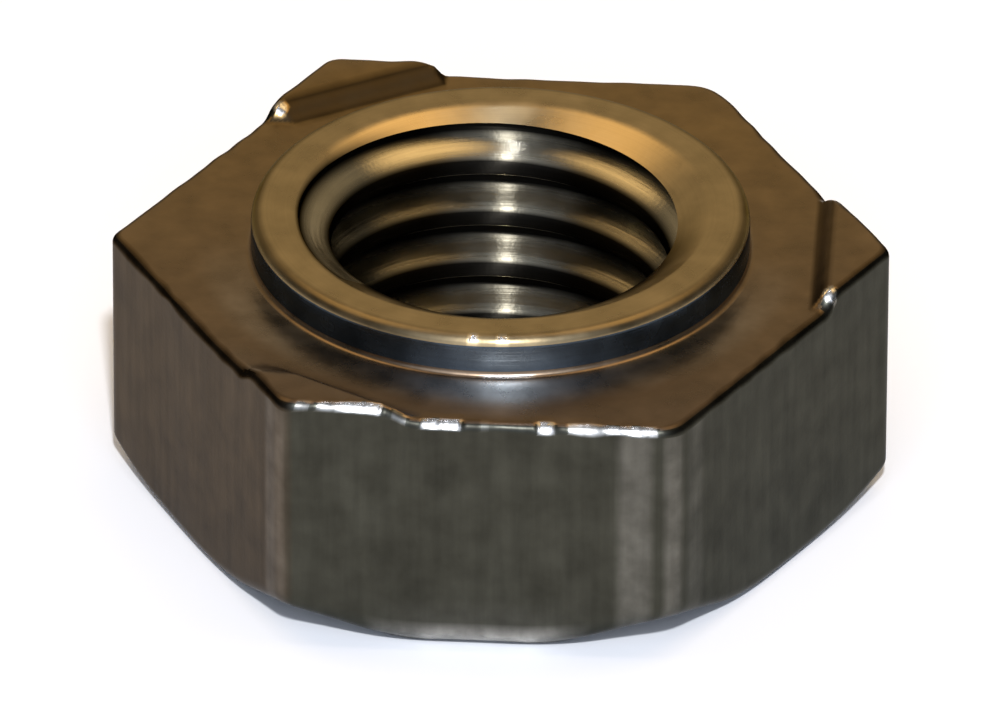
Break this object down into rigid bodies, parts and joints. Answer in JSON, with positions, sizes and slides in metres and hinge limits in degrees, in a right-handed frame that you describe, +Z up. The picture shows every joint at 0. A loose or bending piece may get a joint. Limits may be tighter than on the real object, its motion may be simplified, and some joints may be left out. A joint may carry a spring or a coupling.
{
  "type": "hex weld nut",
  "caption": "Hexagonal weld nut with a round pilot collar, raised welding corners, a chamfered foot and a threaded through hole.",
  "frame": {"origin": "on the thread axis, at the foot that the nut rests on", "axes": "+Z up the thread axis towards the pilot collar, +X through a corner with a welding projection"},
  "size_m": [0.0196, 0.017, 0.0078],
  "materials": {
    "steel": "plain oiled steel, brown film, worn bright on the edges"
  },
  "bodies": {
    "root": {"weld_nut": "steel"}
  },
  "joints": []
}
